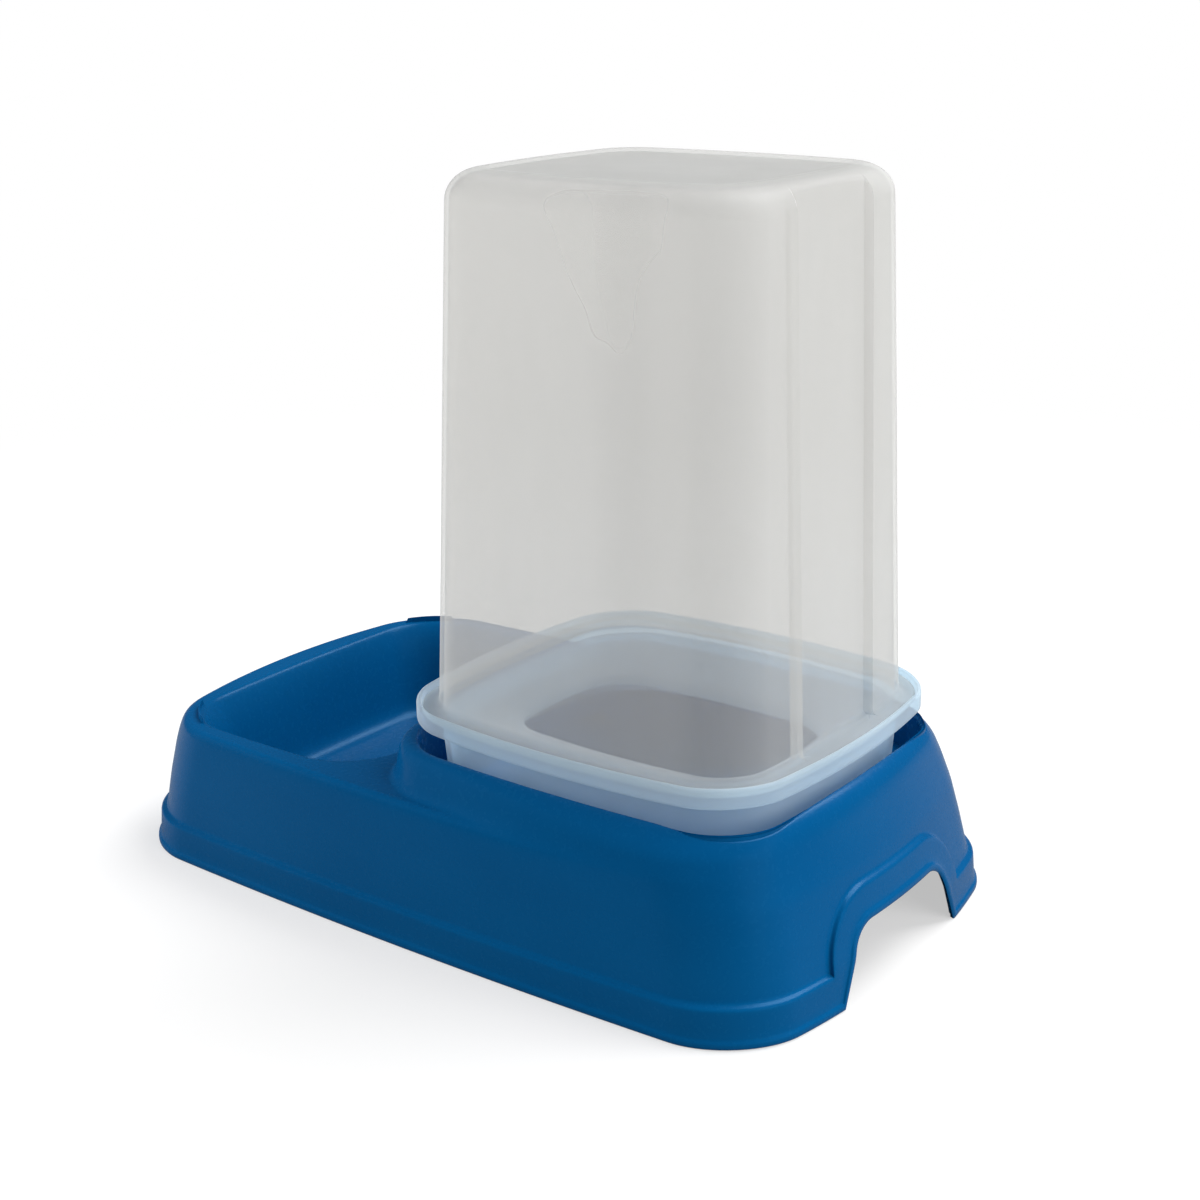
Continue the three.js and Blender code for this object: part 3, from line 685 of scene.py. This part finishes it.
def tub_skin(inset, z):
    """One skin of the tub at heights z (a column): the wall's outline, pushed in along the channel.

    In the channel x = soft_min(x, wall - depth * mask), where the mask runs from 1 inside to 0 outside
    over the flare of its sides.
    """
    fine, rest = channel_columns()
    half_x, half_y, corner = tub_rows(inset, z)
    straight = half_y - HOPPER_BOW - corner
    at_fine = fine[None] / straight
    last = at_fine[:, -1:]
    at_rest = np.where(rest[None] <= 1, last + (1 - last) * rest[None], rest[None])
    u = np.concatenate([at_fine, at_rest], axis=1)
    u = np.concatenate([u, 12 - u[:, -2:0:-1]], axis=1)
    x, y = outline(u, half_x, half_y, corner, HOPPER_BOW, HOPPER_BOW, HOPPER_X)
    wall = HOPPER_X + HOPPER_HALF_X - inset - (z - HOPPER_FOOT) * HOPPER_DRAFT
    half = CHANNEL_HALF + inset
    mask = ramp((half + CHANNEL_FLARE - np.abs(y)) / (2 * CHANNEL_FLARE))
    mask = mask * ramp((z - FLANGE_TOP + inset) / CHANNEL_ROUND)
    bottom = wall - CHANNEL_DEPTH * mask + (1 - mask) * CHANNEL_CLEAR
    sunk = np.where(mask > 0, soft_min(x, bottom, CHANNEL_ROUND), x)
    x = np.where(x > HOPPER_X, sunk, x)
    return np.stack([x, y, z + 0 * x], axis=-1)


def tub_cap(rim, drop):
    """Rings from the rim of the closed end to its middle: a step down inside it, then a shallow dish."""
    middle = np.array([HOPPER_X, 0, rim[0, 2]])
    scale = np.array([0.985, 0.965, 0.945, 0.92, 0.88, 0.8, 0.7, 0.6, 0.5, 0.4, 0.3, 0.2, 0.1, 0.05, 0])
    sink = np.array([0.02, 0.15, 0.45, 0.7, 0.8, 0.85, 0.9, 0.93, 0.96, 0.98, 0.99, 1, 1, 1, 1])
    rings = middle + (rim - middle) * scale[:, None, None]
    rings[..., 2] -= (drop * sink)[:, None]
    return rings


def hopper_tub(material):
    """The hopper as one closed skin: down inside from the closed end, round the flange, and up outside."""
    edge_turn = np.sin(np.radians(np.linspace(0, 90, 15)))[:, None]

    def side(inset, foot):
        bend = HOPPER_TOP - inset - (HOPPER_EDGE - inset)
        up = np.concatenate([foot, np.linspace(foot[-1, 0] + 4, bend, 34)[:-1, None]])
        return tub_skin(inset, np.concatenate([up, bend + (HOPPER_EDGE - inset) * edge_turn]))

    outer = side(0.0, FLANGE_TOP + FLANGE_FILLET + np.array([[0.1], [0.7], [1.4], [2.8]]))
    inner = side(HOPPER_WALL, HOPPER_FOOT + np.array([[0.5], [1.5], [2.6], [4.0]]))
    u = np.concatenate([np.linspace(0, 0.6, 17), 0.6 + 0.4 * np.linspace(0, 1, 7)[1:],
                        1 + np.linspace(0, 1, 21)[1:], 2 + np.linspace(0, 2, 25)[1:],
                        4 + np.linspace(0, 1, 21)[1:], 5 + np.linspace(0, 1, 13)[1:]])
    u = np.concatenate([u, 12 - u[-2:0:-1]])

    def flange(out, z):
        plan = outline(u, FLANGE_HALF_X - out, FLANGE_HALF_Y - out, FLANGE_CORNER - out / 4, LID_BOW,
                       LID_BOW, HOPPER_X)
        return np.stack([*plan, z + 0 * plan[0]], axis=-1)

    foot = inner[0].copy()
    foot[:, 2] = HOPPER_FOOT
    foot[:, :2] += (outer[0, :, :2] - inner[0, :, :2]) * 0.25
    tread = outer[0].copy()
    tread[:, 2] = FLANGE_TOP
    spread = tread[:, :2] - np.array([HOPPER_X, 0])
    spread /= np.linalg.norm(spread, axis=1, keepdims=True)
    fillet = []
    for angle in np.radians([0, 30, 60]):
        turn = tread.copy()
        turn[:, 2] += FLANGE_FILLET * (1 - math.cos(angle))
        turn[:, :2] += spread * FLANGE_FILLET * (1 - math.sin(angle))
        fillet.append(turn)
    root = fillet[0]
    rim = np.stack([flange(0.5, HOPPER_FOOT), flange(0.12, HOPPER_FOOT + 0.2), flange(0, HOPPER_FOOT + 0.6),
                    flange(0, FLANGE_TOP - 0.6), flange(0.12, FLANGE_TOP - 0.2), flange(0.5, FLANGE_TOP)])
    under = foot + (rim[0] - foot) * np.array([0, 0.3, 0.7])[:, None, None]
    over = rim[-1] + (root - rim[-1]) * np.array([0.35, 0.7, 1])[:, None, None]
    rows = np.concatenate([tub_cap(inner[-1], DISH)[::-1], inner[::-1], under, rim, over,
                           np.stack(fillet[1:]), outer, tub_cap(outer[-1], DISH)])
    sheet = Sheet()
    sheet.add(rows, closed=True)
    return make_mesh("hopper_tub", *sheet.welded(), material)


# ---------------------------------------------------------------- finishes

BLUE_DEEP = (0.0004, 0.08, 0.235)
BLUE_LIGHT = (0.0006, 0.093, 0.265)
BLUE_GLOSS = (0.2, 0.6, 1, 1)  # the tint of its reflections
BLUE_ROUGH = (0.22, 0.3)
BLUE_SPECULAR = 0.2
MILK_LIGHT = (0.78, 0.785, 0.775)
MILK_DARK = (0.72, 0.725, 0.715)
# the lid's milk colours carry a painted blue cast that stands in for light thrown up from the blue base
LID_LIGHT_WITH_PAINTED_BOUNCE = (0.92, 0.96, 0.99)
LID_DARK_WITH_PAINTED_BOUNCE = (0.87, 0.93, 0.97)
LID_TINT_PAINTED_BOUNCE = (0.74, 0.9, 1.0)  # of the light that goes straight through; its blue cast is painted bounce light from the blue base, not the lid's own colour
HOPPER_TINT = (0.985, 0.98, 0.972)
LID_FILM = (0.4, 0.6)  # share that is milk seen face on, and what is added edge on
HOPPER_FILM = (0.31, 0.5)
MILK_HAZE = 0.03  # how much the film's share varies
MILK_ROUGH = (0.3, 0.4)
MILK_SPECULAR = 0.3
MILK_GLOW = 0.55  # share of the milk that light passes through
REFRACTION = 1.49


class Finish:
    """A material's node tree, built node by node."""

    def __init__(self, name):
        self.material = bpy.data.materials.new(name)
        self.material.use_nodes = True
        self.tree = self.material.node_tree
        self.tree.nodes.clear()
        self.place = self.node("ShaderNodeTexCoord").outputs["Object"]

    def node(self, kind, settings=None, **inputs):
        """A node with its settings, and each named input either linked or given a plain value."""
        node = self.tree.nodes.new(kind)
        for name, value in (settings or {}).items():
            setattr(node, name, value)
        for name, value in inputs.items():
            socket = node.inputs[int(name[1:])] if name[0] == "_" else node.inputs[name.replace("_", " ")]
            if isinstance(value, bpy.types.NodeSocket):
                self.tree.links.new(value, socket)
            else:
                socket.default_value = value
        return node

    def noise(self, per_metre, detail, stretch=(1, 1, 1)):
        """Noise with about so many patches to the metre, 0 to 1 round 0.5, stretched along an axis."""
        place = self.node("ShaderNodeMapping", None, Vector=self.place, Scale=stretch).outputs[0]
        return self.node("ShaderNodeTexNoise", None, Vector=place, Scale=per_metre,
                         Detail=detail).outputs["Fac"]

    def spread(self, value, low, high):
        """The middle of a noise's range carried to low..high, and the rest of it past them."""
        return self.node("ShaderNodeMapRange", {"clamp": False}, Value=value, From_Min=0.25, From_Max=0.75,
                         To_Min=low, To_Max=high).outputs[0]

    def blend(self, share, first, second):
        """A colour that runs from the first to the second."""
        ramp_node = self.node("ShaderNodeMix", {"data_type": "RGBA"}, Factor=share)
        ramp_node.inputs[6].default_value = (*first, 1)
        ramp_node.inputs[7].default_value = (*second, 1)
        return ramp_node.outputs[2]

    def bump(self, height, distance, strength, under=None):
        """Relief from a height that spans so many metres."""
        node = self.node("ShaderNodeBump", None, Height=height, Distance=distance, Strength=strength)
        if under is not None:
            self.tree.links.new(under, node.inputs["Normal"])
        return node.outputs[0]

    def done(self, surface):
        self.node("ShaderNodeOutputMaterial", None, Surface=surface)
        return self.material


def blue_moulding():
    """Blue polypropylene from a finely etched mould: grain of half a millimetre, faint flow in the colour."""
    finish = Finish("blue_etched_polypropylene")
    flow = finish.noise(9, 3, (1, 1, 2.5))
    cloud = finish.noise(420, 2)
    grain = finish.noise(2300, 2)
    colour = finish.blend(finish.spread(flow, 0, 1), BLUE_DEEP, BLUE_LIGHT)
    relief = finish.bump(finish.noise(26, 1), 0.00035, 0.5)
    relief = finish.bump(grain, 0.00006, 0.2, relief)
    body = finish.node("ShaderNodeBsdfPrincipled", None, Base_Color=colour, Normal=relief,
                       Roughness=finish.spread(cloud, *BLUE_ROUGH), IOR=REFRACTION)
    body.inputs["Specular IOR Level"].default_value = BLUE_SPECULAR
    body.inputs["Specular Tint"].default_value = BLUE_GLOSS
    return finish.done(body.outputs[0])


def milky_moulding(name, film, edge_film, light, dark, tint):
    """Natural polypropylene: a film of milk-white over clear, thicker where the wall is seen edge on.

    film is the share of the surface that is milk when seen face on, edge_film is what is added edge on.
    light and dark are the milk's colours and tint that of what shows through; the lid's carry a painted blue
    cast for bounce light from the base.
    """
    finish = Finish(name)
    cloud = finish.noise(14, 3, (1, 1, 0.35))
    streak = finish.noise(60, 2, (1, 1, 0.06))
    colour = finish.blend(finish.spread(cloud, 0, 1), dark, light)
    relief = finish.bump(finish.noise(1500, 1), 0.00003, 0.25)
    body = finish.node("ShaderNodeBsdfPrincipled", None, Base_Color=colour, Normal=relief,
                       Roughness=finish.spread(streak, *MILK_ROUGH), IOR=REFRACTION)
    body.inputs["Specular IOR Level"].default_value = MILK_SPECULAR
    glow = finish.node("ShaderNodeBsdfTranslucent", None, Color=colour)
    milk = finish.node("ShaderNodeMixShader", None, Fac=MILK_GLOW, _1=body.outputs[0], _2=glow.outputs[0])
    clear = finish.node("ShaderNodeBsdfTransparent", None, Color=(*tint, 1))
    facing = finish.node("ShaderNodeLayerWeight", None, Blend=0.5).outputs["Facing"]
    edge = finish.node("ShaderNodeMath", {"operation": "POWER"}, _0=facing, _1=4.0).outputs[0]
    thick = finish.node("ShaderNodeMath", {"operation": "MULTIPLY_ADD"}, _0=edge, _1=edge_film,
                        _2=finish.spread(cloud, film - MILK_HAZE, film + MILK_HAZE)).outputs[0]
    surface = finish.node("ShaderNodeMixShader", None, Fac=thick, _1=clear.outputs[0], _2=milk.outputs[0])
    return finish.done(surface.outputs[0])

# ---------------------------------------------------------------- floor, light

SKY_LIGHT = 0.32  # strength of the white sky as a lamp, beside 1 as the backdrop
SKY_GLOSS = 0.05  # its strength in reflections
# soft boxes aimed at the object's middle: name, place, size, power, whether it shows in reflections
LAMPS = [
    ("overhead", (0.45, 0.75, 1.45), 1.0, 26.0, True),
    ("hopper_side", (1.4, -0.1, 0.5), 1.1, 13.0, False),
    ("bowl_side", (-1.3, -0.75, 0.6), 1.1, 20.0, False),
]
AIM = (0.0, 0.0, 0.12)
FLOOR_REACH = 30.0
FLOOR_GREY = (0.3, 0.3, 0.3)  # in the light that it throws back
FLOOR_PALE = (0.95, 0.95, 0.95)  # to the eye
FLOOR_FADE = (0.3, 0.9)  # metres from the origin over which the shadows fade into white
FLOOR_WHITE_NEAR = 0.5  # share that is plain white nearer than that


def place_stage():
    """A pale floor that runs far past the object, greyer in the light that it throws back than to the eye."""
    mesh = bpy.data.meshes.new("floor")
    far = FLOOR_REACH
    mesh.from_pydata([(-far, -far, 0), (far, -far, 0), (far, far, 0), (-far, far, 0)], [], [(0, 1, 2, 3)])
    floor = bpy.data.objects.new("floor", mesh)
    bpy.context.scene.collection.objects.link(floor)
    finish = Finish("pale_floor")
    seen = finish.node("ShaderNodeLightPath").outputs["Is Camera Ray"]
    body = finish.node("ShaderNodeBsdfDiffuse", None, Color=finish.blend(seen, FLOOR_GREY, FLOOR_PALE))
    away = finish.node("ShaderNodeVectorMath", {"operation": "LENGTH"}, _0=finish.place).outputs["Value"]
    fade = finish.node("ShaderNodeMapRange", {"interpolation_type": "SMOOTHSTEP"}, Value=away,
                       From_Min=FLOOR_FADE[0], From_Max=FLOOR_FADE[1], To_Min=FLOOR_WHITE_NEAR).outputs[0]
    white = finish.node("ShaderNodeEmission", None, Strength=1.0)
    share = finish.node("ShaderNodeMath", {"operation": "MULTIPLY"}, _0=fade, _1=seen).outputs[0]
    surface = finish.node("ShaderNodeMixShader", None, Fac=share, _1=body.outputs[0], _2=white.outputs[0])
    mesh.materials.append(finish.done(surface.outputs[0]))


def place_lights():
    """A white sky, dimmer as a lamp than as a backdrop and dimmer still in reflections, and soft boxes."""
    world = bpy.data.worlds.new("sky")
    world.use_nodes = True
    tree = world.node_tree
    tree.nodes.clear()
    path = tree.nodes.new("ShaderNodeLightPath")
    dimmed = tree.nodes.new("ShaderNodeMapRange")
    dimmed.inputs["To Min"].default_value = SKY_LIGHT
    dimmed.inputs["To Max"].default_value = SKY_GLOSS
    tree.links.new(path.outputs["Is Glossy Ray"], dimmed.inputs["Value"])
    strength = tree.nodes.new("ShaderNodeMapRange")
    strength.inputs["To Max"].default_value = 1.0
    tree.links.new(dimmed.outputs[0], strength.inputs["To Min"])
    sky = tree.nodes.new("ShaderNodeBackground")
    sky.inputs["Color"].default_value = (1, 1, 1, 1)
    out = tree.nodes.new("ShaderNodeOutputWorld")
    tree.links.new(path.outputs["Is Camera Ray"], strength.inputs["Value"])
    tree.links.new(strength.outputs[0], sky.inputs["Strength"])
    tree.links.new(sky.outputs[0], out.inputs["Surface"])
    bpy.context.scene.world = world
    for name, at, size, power, reflected in LAMPS:
        lamp = bpy.data.lights.new(name, "AREA")
        lamp.size = size
        lamp.energy = power
        holder = bpy.data.objects.new(name, lamp)
        holder.location = at
        holder.visible_glossy = reflected
        holder.rotation_euler = (Vector(AIM) - Vector(at)).to_track_quat("-Z", "Y").to_euler()
        bpy.context.scene.collection.objects.link(holder)
    bpy.context.scene.view_settings.view_transform = "Standard"


# ---------------------------------------------------------------- the object

PIECES = [
    (base_moulding, blue_moulding(), "base", "feeder_base", "base_plastic"),
    # the lid's colours carry painted blue bounce light from the base
    (funnel_lid, milky_moulding("milky_lid", *LID_FILM, LID_LIGHT_WITH_PAINTED_BOUNCE, LID_DARK_WITH_PAINTED_BOUNCE, LID_TINT_PAINTED_BOUNCE),
     "lid", "funnel_lid", "lid_plastic"),
    (hopper_tub, milky_moulding("milky_hopper", *HOPPER_FILM, MILK_LIGHT, MILK_DARK, HOPPER_TINT),
     "tub", "hopper", "hopper_plastic"),
]
for make, material, body, node, slot in PIECES:
    piece = make(material)
    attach(piece, body)
    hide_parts(node)
place_stage()
place_lights()
